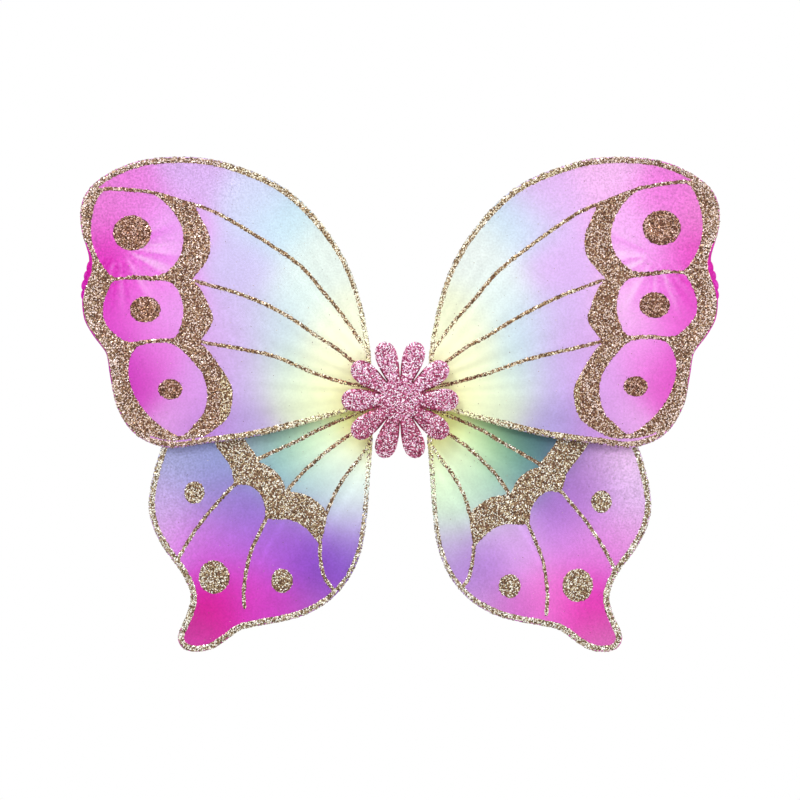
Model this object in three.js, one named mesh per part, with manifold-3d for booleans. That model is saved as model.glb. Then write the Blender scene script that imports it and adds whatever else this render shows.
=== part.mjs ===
// Fairy wings, worn on the back: four wire loops, each in a sheer fabric sleeve with glitter
// veins and dots, are bound together behind a foam flower, over a pad with two strap loops.
//
// Millimetres, +Z up. The wings lie in planes parallel to XZ and face -Y. The origin is the
// middle of the pad's rear face, which rests on the wearer's back, on the +Y side.
// Every curve is drawn for the +X side as [x, z] points, and mirrored for the -X side.

import * as THREE from 'three';
import { mergeVertices } from 'three/addons/utils/BufferGeometryUtils.js';
import Module from 'manifold-3d';

const { degToRad, lerp, smoothstep } = THREE.MathUtils;

const wasm = await Module();
wasm.setup();

// ---------------------------------------------------------------- driving dimensions

const GAP = 0.3; // between pieces that touch

const WIRE_RADIUS = 0.9;
const WIRE_SIDES = 6;
const STEPS = 2; // between two drawn points of a curve

const SLEEVE_WALL = 0.3;
const SLEEVE_DEPTH = 2 * (WIRE_RADIUS + GAP + SLEEVE_WALL);
const WIRE_INSET = SLEEVE_WALL + GAP + WIRE_RADIUS;
const NECK_X = 16.2; // where a sleeve's gathered neck begins
const NECK_Z = 4.6; // height of a neck's middle above or below the hub's middle
const NECK_HALF = 3.2;

const GLITTER_DEPTH = 0.5;
const HEM = 1.1; // bare fabric outside the glitter border
const BORDER_WIDTH = 3.2;
const BORDER_TAPER = { share: 0.6, from: 28, to: 75 }; // it thins towards the root
const PRINT_TURN_FADE = { from: 50, to: 140 }; // a turned print still meets the root
const VEIN_WIDTH = 2.2;

const BINDING = { halfLength: 11, wall: 1, corner: 2, clearance: 0.4 };
const WIRE_SPREAD = 1.6; // each wire's distance from its neck's middle
const TAIL_START = 0.4;
const TAIL_END = 13.5;
const HINGE_X = 14.3; // a wing's wires bend here, between the tails and the loops
const LOOP_START = 2 * HINGE_X - TAIL_END;
const LOOP_STRAIGHT = 1.5; // each end of a loop runs straight this far past the neck's start

const UPPER_Y = -12;
const LOWER_Y = -7;

const TIE = { start: 16.8, length: 3, wall: 0.9, corner: 0.7 };
const PAD = { halfWidth: 15, halfHeight: 13, corner: 9, depth: 2.5, coverDepth: 1.2 };
const ANCHOR = { x: 19.3, y: -4, radius: 4, low: 1, high: 13, sides: 20 };
const STRAP = { width: 8, thickness: 0.9 };
const FLOWER = { petals: 10, slitRadius: 16.5, rearY: -18.4, depth: 2, stretch: 1.035 };
const GLUE = { radius: 9, sides: 28 };
const DOT_SIDES = 20;
const TAIL_SIDES = 8;

// ---------------------------------------------------------------- the two wing designs

// An outline runs from the neck's top, round the wing, to the neck's bottom.
const UPPER = {
  y: UPPER_Y,
  neckZ: NECK_Z,
  outline: [
    [20, 7.7], [21.5, 12], [21.8, 24], [22.5, 37.5], [26.3, 60], [31.9, 82.5], [40.9, 105],
    [55.1, 127.5], [75, 150], [95.6, 164.6], [120, 174.6], [142, 180.6], [166, 182.3],
    [192.4, 180], [213.8, 172.5], [229, 162.5], [237, 152], [239.7, 140], [238.5, 126],
    [234.6, 112.5], [233.3, 104], [235.9, 90], [238.4, 76], [236.6, 60], [228.5, 46],
    [220.5, 35], [218, 21], [214.3, 2], [210, -10], [201.8, -22.5], [189, -31.5],
    [171, -35.8], [149.6, -33], [114.4, -28.3], [79.5, -20.5], [41.3, -9.4], [28, -3.4],
    [20.2, 1.5],
  ],
  cells: [
    [
      [222, 157], [211, 157.7], [198, 157], [184, 154], [172, 144], [163.5, 130], [162, 119.5],
      [165, 107], [175, 95.5], [187, 92.6], [200, 93.5], [214, 91.5], [222, 98.5],
      [229.5, 113], [232, 126], [230.5, 140], [227, 151],
    ],
    [
      [215, 89.5], [198, 90.6], [186, 89.8], [173, 89], [166, 82], [162.2, 68.5], [164, 56],
      [168.5, 46.5], [180, 45.9], [192, 44.7], [203.5, 43.1], [212, 47.5], [221, 57],
      [223.3, 67], [221, 78], [217.5, 86],
    ],
    [
      [198, 39.5], [190, 42.3], [180, 43.3], [170, 42], [162.5, 36.5], [154.5, 28.3],
      [147.8, 19.4], [144.2, 5], [147, -9.9], [154.5, -19], [163.5, -27.5], [172, -24.6],
      [184.5, -15.6], [195, -4], [202, 10], [204, 21], [203, 31],
    ],
  ],
  // The glitter field's edge, stretch by stretch, meeting in cusps. It runs past the outline,
  // which trims it.
  field: [
    [[250, 161], [222, 158.3], [189, 156.2], [168, 150.6], [153.5, 145.6]],
    [[152.7, 142.2], [143.8, 126], [142.5, 116.3], [144.2, 105.7], [156, 90.6]],
    [[156, 89.5], [149.4, 82.9], [140.9, 64.2], [141.8, 56], [150.6, 43.5]],
    [[150.6, 43.3], [142.1, 34.8], [127.5, 12.8], [125.9, 3.1], [127.5, -9.2], [134, -18],
      [146.2, -26.6], [155, -29.6]],
    [[155, -29.6], [166.5, -30.4], [178.7, -29.4], [188, -27]],
    [[205, -45], [260, -45]],
  ],
  veins: [
    [[222, 158.5], [189, 156.4], [159.8, 147.8], [137.3, 140.3], [100.5, 118.5], [74.3, 100.5],
      [57, 80.3], [45, 66], [30.8, 45.8], [25, 37]],
    [[155, 89.5], [124.5, 81], [100.5, 71.6], [79.5, 60], [63.8, 48.8], [50.3, 40.5], [36, 29.3],
      [25, 20]],
    [[152, 44], [103.5, 35.3], [83.3, 28.5], [63.8, 19.9], [37.5, 12], [24, 10.5]],
  ],
  dots: [
    { name: 'top', at: [200.8, 125.2], radii: [14.2, 12.9] },
    { name: 'middle', at: [191.1, 67.8], radii: [11.3, 9.5] },
    { name: 'bottom', at: [172.2, 8], radii: [8.9, 7.4] },
  ],
  // The fabric puckers in the notch between the outer bulges, where its hem is wide.
  pucker: { z: 99, reach: 12, depth: 2.6, beyond: 225 },
  // The right-hand wing was printed a little turned in its frame.
  printPivot: [146, 68],
  printTurn: { left: 0, right: 4.4 },
};

const LOWER = {
  y: LOWER_Y,
  neckZ: -NECK_Z,
  outline: [
    [20.2, -1.5], [28, -2.6], [60, -4], [100, -5], [130, -6.5], [157, -13], [175, -27],
    [184.5, -52], [189, -77], [186, -95], [177, -112.5], [165.8, -127.5], [158.8, -141],
    [157.3, -151],
    [161.5, -164.5], [167.2, -178], [162.8, -187.2], [151.5, -189.4], [140, -186.6],
    [129, -179.2], [118, -172], [90, -166.8], [69.8, -161], [52, -150], [39, -135],
    [31.5, -120], [27.4, -105], [24.8, -85], [22.5, -52.5], [20.8, -30], [21.3, -12],
    [20, -7.7],
  ],
  cells: [],
  field: [
    [[128, 5], [122, -18], [116.9, -30.5], [110, -39.8], [106.1, -47.2]],
    [[106.1, -47.2], [99.8, -49.5], [92.9, -54.7], [88.2, -61.5], [86, -68.4]],
    [[86, -68.4], [79.1, -69.6], [69.9, -71.9], [61.8, -77.6], [56.1, -83.3], [55.8, -92],
      [60.1, -108]],
    [[61.8, -106.5], [68.7, -98.3], [77.9, -91.4], [87.1, -89.6], [96.3, -89.6], [100.9, -88]],
    [[101.4, -85], [101.4, -79.9], [104.3, -71.9], [110, -65.6], [116.9, -63.2], [123.8, -64.4]],
    [[125.6, -58.1], [127.3, -50], [131.9, -43.2], [137.6, -35.1], [146, -22], [160, 0]],
  ],
  veins: [
    [[108, -45], [91.7, -37.4], [74.5, -29.4], [61.8, -22.5], [40, -13], [24, -6.5]],
    [[86, -70], [74.5, -55.8], [63, -45.5], [49.2, -34], [35.4, -24.8], [22, -17]],
    [[56, -87], [49.2, -70.7], [40, -55.8], [29.7, -43.2], [22, -31]],
    [[124, -63], [137.6, -77.6], [149.1, -91.4], [159.4, -106.3], [170, -125]],
    [[99.5, -87], [106.6, -101.7], [112.4, -114.3], [115.8, -129.2], [117.6, -143], [117, -157]],
    [[60, -106], [60.1, -116.6], [59, -125.9], [56.1, -135], [46, -147]],
  ],
  dots: [
    { name: 'side', at: [154.8, -69.6], radii: [7.5, 8.2] },
    { name: 'tail', at: [139.9, -133.3], radii: [11.3, 12.3] },
    { name: 'inner', at: [88.8, -136.1], radii: [7.9, 8.8] },
  ],
  pucker: { z: 0, reach: 1, depth: 0, beyond: 1000 },
  printPivot: [0, 0],
  printTurn: { left: 0, right: -2.6 },
};

// Each strap is one loop. Both its ends meet the anchor, and it rests close behind the upper
// wing with its band on edge.
const STRAP_LOOP = [
  [23.7, 11.2], [31, 22], [45, 35.5], [63, 47.6], [80, 59], [100, 70], [124, 79.5],
  [142, 84], [152, 80], [155.5, 67], [152, 52], [142, 43.2], [122, 39.6], [103, 35.4],
  [83, 28.4], [64, 20], [44, 13], [23.7, 4.2],
];

// One side of a petal, as [distance out from the flower's middle, half width].
const PETAL = [[20, 6.1], [25, 7.3], [30, 8], [35, 8.1], [39.5, 6.9], [42.6, 4.1], [44, 0]];

const SIDES = { left: -1, right: 1 };

// ---------------------------------------------------------------- materials

const material = (color, roughness, metalness = 0) =>
  new THREE.MeshStandardMaterial({ color, roughness, metalness });

const LOOKS = {
  wire: () => material('#c9c2c0', 0.35, 0.9),
  upperFabric: () => material('#e3c4f2', 0.6),
  lowerFabric: () => material('#b79be6', 0.6),
  glitter: () => material('#b89c7c', 0.45, 0.6),
  thread: () => material('#f4f0e4', 0.8),
  tape: () => material('#f1ece6', 0.85),
  flower: () => material('#d8709f', 0.5, 0.3),
  glue: () => material('#efe9da', 0.4),
  felt: () => material('#f3eef2', 0.95),
  foam: () => material('#e9e4e8', 0.9),
  elastic: () => material('#f6f4f4', 0.8),
};

// ---------------------------------------------------------------- curves in the XZ plane

const vectors = (points) => points.map(([x, z]) => new THREE.Vector2(x, z));
const mirrored = (points, side) => points.map((p) => new THREE.Vector2(p.x * side, p.y));

function smooth(points) {
  return new THREE.SplineCurve(vectors(points)).getPoints(STEPS * (points.length - 1));
}

function smoothLoop(points) {
  const loop = points.map(([x, z]) => new THREE.Vector3(x, z, 0));
  const steps = STEPS * points.length;
  const round = new THREE.CatmullRomCurve3(loop, true).getPoints(steps);
  return round.slice(0, steps).map((p) => new THREE.Vector2(p.x, p.y));
}

// A curve whose extrusion has its sections at the curve's own points.
class KnottedCurve extends THREE.CatmullRomCurve3 {
  getUtoTmapping(u) {
    return u;
  }
}

// Moves an open path sideways. A positive distance moves it to the right of its travel, which
// is into the wing for an outline. distance may be a function of the point.
function shifted(path, distance) {
  return path.map((point, i) => {
    const before = path[Math.max(i - 1, 0)];
    const after = path[Math.min(i + 1, path.length - 1)];
    const along = after.clone().sub(before).normalize();
    const by = typeof distance === 'function' ? distance(point) : distance;
    return new THREE.Vector2(point.x + along.y * by, point.y - along.x * by);
  });
}

function ribbon(path, width) {
  return [...shifted(path, -width / 2), ...shifted(path, width / 2).reverse()];
}

function ellipse([x, z], [rx, rz], steps) {
  return new THREE.EllipseCurve(x, z, rx, rz).getPoints(steps).slice(0, steps);
}

function roundedRectangle(halfWidth, halfHeight, corner) {
  const shape = new THREE.Shape();
  const x = halfWidth - corner;
  const y = halfHeight - corner;
  shape.absarc(x, y, corner, 0, Math.PI / 2, false);
  shape.absarc(-x, y, corner, Math.PI / 2, Math.PI, false);
  shape.absarc(-x, -y, corner, Math.PI, 1.5 * Math.PI, false);
  shape.absarc(x, -y, corner, 1.5 * Math.PI, 2 * Math.PI, false);
  shape.closePath();
  return shape;
}

// ---------------------------------------------------------------- solids

const UPRIGHT = new THREE.Matrix4().makeBasis(
  new THREE.Vector3(1, 0, 0), new THREE.Vector3(0, 0, 1), new THREE.Vector3(0, -1, 0));

const ALONG_X = new THREE.Matrix4().makeBasis(
  new THREE.Vector3(0, 1, 0), new THREE.Vector3(0, 0, 1), new THREE.Vector3(1, 0, 0));

// A short tube along +X from x = 0, its rounded bore halfY by halfZ.
function squareTube(halfY, halfZ, wall, corner, depth) {
  const outer = roundedRectangle(halfY + wall, halfZ + wall, corner + wall);
  outer.holes.push(roundedRectangle(halfY, halfZ, corner));
  const options = { depth, curveSegments: 4, bevelEnabled: false };
  return new THREE.ExtrudeGeometry(outer, options).applyMatrix4(ALONG_X);
}

// A plate in the XZ plane, from y = 0 to y = -depth.
function plate(outline, depth, curveSegments = 4) {
  const shape = outline instanceof THREE.Shape ? outline : new THREE.Shape(outline);
  const geometry = new THREE.ExtrudeGeometry(shape, { depth, curveSegments, bevelEnabled: false });
  return geometry.applyMatrix4(UPRIGHT);
}

function toSolid(geometry) {
  const bare = geometry.clone();
  bare.deleteAttribute('normal');
  bare.deleteAttribute('uv');
  const merged = mergeVertices(bare);
  const vertProperties = new Float32Array(merged.attributes.position.array);
  const triVerts = new Uint32Array(merged.index.array);
  return new wasm.Manifold(new wasm.Mesh({ numProp: 3, vertProperties, triVerts }));
}

function toGeometry(solid) {
  const mesh = solid.getMesh();
  const geometry = new THREE.BufferGeometry();
  geometry.setAttribute('position', new THREE.BufferAttribute(mesh.vertProperties, 3));
  geometry.setIndex(new THREE.BufferAttribute(mesh.triVerts, 1));
  return geometry;
}

const group = new THREE.Group();
group.name = 'fairy_wings';

function add(parent, name, geometry, look, position = [0, 0, 0]) {
  const mesh = new THREE.Mesh(geometry, look);
  mesh.name = name;
  mesh.position.set(...position);
  parent.add(mesh);
  return mesh;
}

// ---------------------------------------------------------------- a wing

function wingPath(design) {
  const top = [NECK_X, design.neckZ + NECK_HALF];
  const bottom = [NECK_X, design.neckZ - NECK_HALF];
  return smooth([top, ...design.outline, bottom]);
}

// The wire loop follows the outline inside the sleeve, and both its ends run straight into
// the binding.
function wireLoop(design, side) {
  const path = shifted(wingPath(design), WIRE_INSET);
  const inside = path.filter((p) => p.x > NECK_X + LOOP_STRAIGHT);
  const ends = [design.neckZ + WIRE_SPREAD, design.neckZ - WIRE_SPREAD];
  const first = [new THREE.Vector2(LOOP_START, ends[0]), new THREE.Vector2(NECK_X, ends[0])];
  const last = [new THREE.Vector2(NECK_X, ends[1]), new THREE.Vector2(LOOP_START, ends[1])];
  const points = mirrored([...first, ...inside, ...last], side);
  const curve = new KnottedCurve(points.map((p) => new THREE.Vector3(p.x, 0, p.y)));
  const section = new THREE.Shape(ellipse([0, 0], [WIRE_RADIUS, WIRE_RADIUS], WIRE_SIDES));
  return new THREE.ExtrudeGeometry(section, { steps: points.length - 1, extrudePath: curve });
}

// A flat bag of two layers, open at its neck, where the loop's ends come out.
function sleeve(design, side) {
  const path = wingPath(design);
  const cavity = shifted(path, SLEEVE_WALL);
  const first = cavity[0];
  const last = cavity[cavity.length - 1];
  const mouth = [
    new THREE.Vector2(NECK_X - 1, last.y),
    new THREE.Vector2(NECK_X - 1, first.y),
  ];
  const outer = plate(mirrored(path, side), SLEEVE_DEPTH);
  const inner = plate(mirrored([...cavity, ...mouth], side), SLEEVE_DEPTH - 2 * SLEEVE_WALL);
  inner.translate(0, -SLEEVE_WALL, 0);
  const bag = toSolid(outer).subtract(toSolid(inner));
  return toGeometry(bag).translate(0, SLEEVE_DEPTH / 2, 0);
}

// Turns a printed point about the design's pivot, and leaves the root where it is.
function printed(design, sideName, points) {
  const turn = degToRad(design.printTurn[sideName]);
  const pivot = new THREE.Vector2(...design.printPivot);
  const { from, to } = PRINT_TURN_FADE;
  return points.map((point) => {
    const weight = smoothstep(point.length(), from, to);
    return point.clone().rotateAround(pivot, turn * weight);
  });
}

// How far in from the outline the border starts at a point, and how wide it is there.
function hemWidth(design, point) {
  const { z, reach, depth, beyond } = design.pucker;
  const pucker = point.x > beyond ? depth * Math.exp(-(((point.y - z) / reach) ** 2)) : 0;
  return HEM + pucker;
}

function borderWidth(point) {
  const { share, from, to } = BORDER_TAPER;
  return BORDER_WIDTH * lerp(share, 1, smoothstep(point.x, from, to));
}

// The border, the scalloped field with its cells cut out, and the veins, joined in one print.
function glitter(design, sideName) {
  const side = SIDES[sideName];
  const tieEnd = TIE.start + TIE.length;
  const path = wingPath(design).filter((p) => p.x > tieEnd && Math.abs(p.y) > 1);
  const hem = (p) => hemWidth(design, p);
  const solid = (outline) => toSolid(plate(mirrored(outline, side), GLITTER_DEPTH));
  const place = (points) => printed(design, sideName, points);

  const bounds = solid(shifted(path, hem));
  const borderInside = shifted(path, (p) => hem(p) + borderWidth(p)).reverse();
  const border = solid([...shifted(path, -HEM), ...borderInside]);
  let field = solid(place(design.field.flatMap((stretch) => smooth(stretch))));
  for (const cell of design.cells) {
    field = field.subtract(solid(place(smoothLoop(cell))));
  }
  let print = border.add(field);
  for (const vein of design.veins) {
    print = print.add(solid(ribbon(place(smooth(vein)), VEIN_WIDTH)));
  }
  return toGeometry(print.intersect(bounds));
}

// The thread bound round a sleeve's gathered neck.
function tie() {
  const halfY = SLEEVE_DEPTH / 2 + GAP;
  return squareTube(halfY, NECK_HALF + GAP, TIE.wall, TIE.corner, TIE.length);
}

function addWing(design, level, sideName) {
  const side = SIDES[sideName];
  const prefix = `${level}_${sideName}`;
  const wing = new THREE.Group();
  wing.position.y = design.y;
  group.add(wing);
  const fabric = design === UPPER ? LOOKS.upperFabric() : LOOKS.lowerFabric();
  const front = -SLEEVE_DEPTH / 2 - GAP;
  add(wing, `${prefix}_frame`, wireLoop(design, side), LOOKS.wire());
  add(wing, `${prefix}_sleeve`, sleeve(design, side), fabric);
  add(wing, `${prefix}_glitter`, glitter(design, sideName), LOOKS.glitter(), [0, front, 0]);
  for (const dot of design.dots) {
    const [centre] = printed(design, sideName, vectors([dot.at]));
    const rim = ellipse([centre.x * side, centre.y], dot.radii, DOT_SIDES);
    const disc = plate(rim, GLITTER_DEPTH);
    add(wing, `${prefix}_${dot.name}_dot`, disc, LOOKS.glitter(), [0, front, 0]);
  }
  const tieX = side > 0 ? TIE.start : -TIE.start - TIE.length;
  add(wing, `${prefix}_tie`, tie(), LOOKS.thread(), [tieX, 0, design.neckZ]);
}

// ---------------------------------------------------------------- the hub

// The ends of one wire loop, held in the binding.
function addTails(design, level, sideName) {
  const side = SIDES[sideName];
  const length = TAIL_END - TAIL_START;
  const middle = (side * (TAIL_END + TAIL_START)) / 2;
  for (const [name, spread] of [['top', WIRE_SPREAD], ['bottom', -WIRE_SPREAD]]) {
    const rod = new THREE.CylinderGeometry(WIRE_RADIUS, WIRE_RADIUS, length, TAIL_SIDES);
    rod.rotateZ(Math.PI / 2);
    const position = [middle, design.y, design.neckZ + spread];
    add(group, `${level}_${sideName}_tail_${name}`, rod, LOOKS.wire(), position);
  }
}

// Tape wound round all the wire ends, as a tube along X.
function binding() {
  const clearance = WIRE_RADIUS + BINDING.clearance;
  const halfY = (LOWER.y - UPPER.y) / 2 + clearance;
  const halfZ = NECK_Z + WIRE_SPREAD + clearance;
  const tube = squareTube(halfY, halfZ, BINDING.wall, BINDING.corner, 2 * BINDING.halfLength);
  return { tube, front: (LOWER.y + UPPER.y) / 2 - halfY - BINDING.wall };
}

function flowerShape() {
  const shape = new THREE.Shape();
  const pitch = (2 * Math.PI) / FLOWER.petals;
  const placed = (point, angle) => {
    const turned = point.clone().rotateAround(new THREE.Vector2(0, 0), angle);
    return turned.multiply(new THREE.Vector2(1, FLOWER.stretch));
  };
  const firstSide = PETAL.map(([out, half]) => new THREE.Vector2(out, -half));
  const otherSide = PETAL.slice(0, -1).reverse().map(([out, half]) => new THREE.Vector2(out, half));
  for (let petal = 0; petal < FLOWER.petals; petal += 1) {
    const angle = (petal + 0.5) * pitch + Math.PI / 2;
    const slit = placed(new THREE.Vector2(FLOWER.slitRadius, 0), angle - pitch / 2);
    if (petal === 0) {
      shape.moveTo(slit.x, slit.y);
    } else {
      shape.lineTo(slit.x, slit.y);
    }
    shape.splineThru([...firstSide, ...otherSide].map((point) => placed(point, angle)));
  }
  shape.closePath();
  return shape;
}

function addHub() {
  const cover = roundedRectangle(PAD.halfWidth, PAD.halfHeight, PAD.corner);
  add(group, 'pad_cover', plate(cover, PAD.coverDepth), LOOKS.felt());
  const padY = -PAD.coverDepth - GAP;
  add(group, 'back_pad', plate(cover, PAD.depth), LOOKS.foam(), [0, padY, 0]);

  const { tube, front } = binding();
  const bindingY = (UPPER.y + LOWER.y) / 2;
  add(group, 'wire_binding', tube, LOOKS.tape(), [-BINDING.halfLength, bindingY, 0]);

  const glueY = front - GAP;
  const glueDepth = glueY - GAP - FLOWER.rearY;
  const glue = plate(ellipse([0, 0], [GLUE.radius, GLUE.radius], GLUE.sides), glueDepth);
  add(group, 'glue_spot', glue, LOOKS.glue(), [0, glueY, 0]);
  const flower = plate(flowerShape(), FLOWER.depth, 1);
  add(group, 'front_flower', flower, LOOKS.flower(), [0, FLOWER.rearY, 0]);
}

// ---------------------------------------------------------------- the straps

function addStrap(sideName) {
  const side = SIDES[sideName];
  const height = ANCHOR.high - ANCHOR.low;
  const roll = new THREE.CylinderGeometry(ANCHOR.radius, ANCHOR.radius, height, ANCHOR.sides);
  roll.rotateX(Math.PI / 2);
  const middle = (ANCHOR.high + ANCHOR.low) / 2;
  const position = [side * ANCHOR.x, ANCHOR.y, middle];
  add(group, `${sideName}_strap_anchor`, roll, LOOKS.elastic(), position);

  const band = ribbon(smooth(STRAP_LOOP), STRAP.thickness);
  const strapY = ANCHOR.y + STRAP.width / 2;
  const loop = plate(mirrored(band, side), STRAP.width);
  add(group, `${sideName}_strap`, loop, LOOKS.elastic(), [0, strapY, 0]);
}

// ---------------------------------------------------------------- assembly

addHub();
for (const sideName of Object.keys(SIDES)) {
  for (const [level, design] of [['upper', UPPER], ['lower', LOWER]]) {
    addTails(design, level, sideName);
    addWing(design, level, sideName);
  }
  addStrap(sideName);
}

export default group;
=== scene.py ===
"""Fairy wings: four dyed, glitter-printed fabric sleeves on wire loops, a foam flower in front,
and a pad with two elastic strap loops behind. Metres, +Z up, and the wings face -Y."""

from contextlib import contextmanager
import math

import bmesh
import bpy
import numpy as np
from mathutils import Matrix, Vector, kdtree, noise
from mathutils.geometry import delaunay_2d_cdt


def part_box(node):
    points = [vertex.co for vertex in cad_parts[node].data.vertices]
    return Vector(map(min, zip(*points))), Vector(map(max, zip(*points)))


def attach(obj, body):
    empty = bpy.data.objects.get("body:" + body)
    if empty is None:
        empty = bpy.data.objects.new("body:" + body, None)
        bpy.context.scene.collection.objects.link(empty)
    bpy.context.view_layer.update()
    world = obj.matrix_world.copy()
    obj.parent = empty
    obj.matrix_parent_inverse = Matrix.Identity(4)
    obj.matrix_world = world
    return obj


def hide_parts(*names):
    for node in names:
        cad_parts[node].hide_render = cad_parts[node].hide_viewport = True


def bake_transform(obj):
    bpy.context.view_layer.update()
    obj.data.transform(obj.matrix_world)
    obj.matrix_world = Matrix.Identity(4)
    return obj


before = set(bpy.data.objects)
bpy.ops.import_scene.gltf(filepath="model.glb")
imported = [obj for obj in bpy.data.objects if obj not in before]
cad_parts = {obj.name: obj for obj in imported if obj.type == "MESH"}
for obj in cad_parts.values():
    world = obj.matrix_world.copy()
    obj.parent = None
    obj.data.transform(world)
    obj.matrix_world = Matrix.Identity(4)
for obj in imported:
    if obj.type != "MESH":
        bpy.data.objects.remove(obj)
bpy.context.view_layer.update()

MM = 0.001
LEVELS = ("upper", "lower")
SIDES = {"left": -1, "right": 1}

# ------------------------------------------------------------------ camera, lights and floor

VIEW_WIDTH = 0.6  # seen across the wings' plane
LENS = 85
SENSOR = 36
FLOOR_LEVEL = -0.4
FLOOR_RADIUS = 3.5
FLOOR_BACK = 0.4


def middle(node):
    low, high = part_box(node)
    return (low + high) / 2


def add_camera():
    camera = bpy.data.cameras.new("camera")
    camera.lens = LENS
    camera.sensor_width = SENSOR
    holder = bpy.data.objects.new("camera", camera)
    wings_y = middle("upper_left_sleeve").y
    holder.location = (0, wings_y - VIEW_WIDTH * LENS / SENSOR, 0)
    holder.rotation_euler = (math.pi / 2, 0, 0)
    bpy.context.collection.objects.link(holder)
    bpy.context.scene.camera = holder


def add_light(name, place, size, watts):
    light = bpy.data.lights.new(name, "AREA")
    light.size = size
    light.energy = watts
    holder = bpy.data.objects.new(name, light)
    holder.location = place
    holder.rotation_euler = (-Vector(place)).to_track_quat("-Z", "Y").to_euler()
    bpy.context.collection.objects.link(holder)


def add_studio():
    scene = bpy.context.scene
    scene.view_settings.view_transform = "Standard"
    world = bpy.data.worlds.new("studio")
    world.use_nodes = True
    world.node_tree.nodes["Background"].inputs["Color"].default_value = (1, 1, 1, 1)
    world.node_tree.nodes["Background"].inputs["Strength"].default_value = 1.0
    scene.world = world
    add_light("key", (-0.7, -1.1, 1.1), 0.5, 15)
    add_light("side", (1.2, -0.8, 0.4), 0.6, 6)
    add_light("rear", (0.4, 1.4, 0.9), 0.8, 8)


def add_floor():
    """A round pale floor, which ends before it would show behind the wings from in front."""
    turns = np.linspace(0, 2 * math.pi, 96, endpoint=False)
    rim = [(FLOOR_RADIUS * math.cos(a), FLOOR_BACK - FLOOR_RADIUS * (1 - math.sin(a)), FLOOR_LEVEL)
           for a in turns]
    mesh = bpy.data.meshes.new("floor")
    mesh.from_pydata(rim, [], [tuple(range(len(rim)))])
    floor = bpy.data.objects.new("floor", mesh)
    bpy.context.collection.objects.link(floor)
    material = bpy.data.materials.new("floor")
    material.use_nodes = True
    shader = material.node_tree.nodes["Principled BSDF"]
    shader.inputs["Base Color"].default_value = (0.66, 0.65, 0.64, 1)
    shader.inputs["Roughness"].default_value = 0.7
    mesh.materials.append(material)


add_camera()
add_studio()
add_floor()

# ------------------------------------------------------------------ colours


def linear(code):
    """A hex colour code as linear red, green and blue."""
    values = np.array([int(code[k:k + 2], 16) / 255 for k in (0, 2, 4)])
    return np.where(values <= 0.04045, values / 12.92, ((values + 0.055) / 1.055) ** 2.4)


# Where each dye was laid on, as (x, z, left wing's colour, right wing's colour), in mm on the
# +X side. The colours flow into each other. Some spots also hold painted light: those nearest
# the root are lightened against the shade of the flower and the upper wing, and those at
# (98, -20) and (112, -26) are darkened with painted shade of the upper wing over the lower.
DYES_AND_PAINTED_LIGHT = {
    "upper": [
        # The spots nearest the root are lightened: painted light against the flower's shade.
        (22, 0, "fcfcb0", "fcfcb0"), (55, 5, "fcfdc8", "fafdca"), (50, 32, "fcfddc", "fafcd8"),
        (45, 58, "f9fde4", "f6fada"), (78, 0, "ecfada", "e8f6da"), (90, 22, "dcf2e6", "d6f0f4"),
        (95, 55, "d8ecf6", "d8f0fc"), (76, 76, "e8faf8", "ecfaf9"), (60, 108, "f2fdf6", "f4fcf8"),
        (90, 132, "d4f0fc", "d6ecfc"), (112, 152, "dce0fd", "ecc4fb"),
        (120, 100, "dcd2fb", "e9c4fc"), (120, 60, "decafa", "e2c4fb"),
        (118, 20, "d4bef2", "d5bdf5"), (115, -18, "cab2ee", "c0b0ec"),
        (150, -27, "c088e6", "ca96e8"), (155, 170, "e0baf4", "fac4f8"),
        (138, 40, "e2b8f4", "e6b8f6"), (170, 126, "f2b0f8", "fec0fe"),
        (200, 152, "ee88e4", "f484e4"), (192, 104, "f894f4", "fcb0f8"),
        (226, 128, "e87cd8", "ec84d4"), (219, 103, "e00cb4", "ea2cc0"),
        (236, 148, "ee86dc", "f290dc"), (236, 75, "e434cc", "ee50d2"),
        (168, 68, "f2a8f6", "fec8fc"), (195, 84, "fa90f0", "ff9cf8"),
        (216, 68, "e85cd8", "f068da"), (152, 8, "e6a4f2", "e6acf2"), (182, 35, "f088ea", "faa4f6"),
        (200, 14, "da48ca", "ec68d6"), (216, 20, "d030c0", "e850d0"),
        (166, -20, "f2b0f0", "fabcf8"),
    ],
    "lower": [
        # Root spots lightened with painted light; (98, -20) and (112, -26) darkened with painted
        # shade.
        (25, -18, "f8fca0", "f4fa98"), (36, -70, "ecfcf0", "eaffd6"),
        (45, -45, "fbffe6", "f8ffda"), (98, -20, "94c4ac", "507c6c"),
        (112, -26, "a8b4cc", "507490"), (70, -38, "def8c8", "acd494"),
        (90, -52, "90c4cc", "6ca4a8"), (55, -60, "dcfaf4", "e0ffe6"),
        (68, -69, "aecddf", "acd6cb"), (45, -86, "ccccee", "cce8d8"),
        (36, -110, "bca0e4", "dcd4ee"), (46, -124, "8048cc", "b88cdc"),
        (53, -142, "9c5cd0", "c498e4"), (64, -156, "cc74d4", "e4a8e4"),
        (140, -48, "98a2de", "ac78c8"), (140, -76, "aa90d8", "c086dc"),
        (174, -80, "d0b8ee", "ecccf8"), (160, -46, "b4b8e2", "ffdcff"),
        (150, -104, "d486ea", "f0a8f4"), (174, -106, "f0b4f4", "eca0e6"),
        (112, -84, "a280de", "b07cd8"), (122, -110, "c878ea", "e498f4"),
        (138, -150, "e40090", "f014b4"), (150, -176, "d848b0", "e474c4"),
        (152, -122, "dc5ce0", "e874de"), (120, -140, "e45cdc", "fc94ea"),
        (80, -98, "b07ce0", "ecc8fa"), (90, -116, "c46cea", "f2bcfc"),
        (85, -160, "d440c8", "d868d2"), (66, -120, "8c44cc", "b87ce0"),
        (108, -152, "e048d0", "f884e0"),
    ],
}
DYE_REACH = 16 * MM
LIGHT_GAIN = 1.12  # how much brighter than its own colour the studio shows a matt surface


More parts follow.
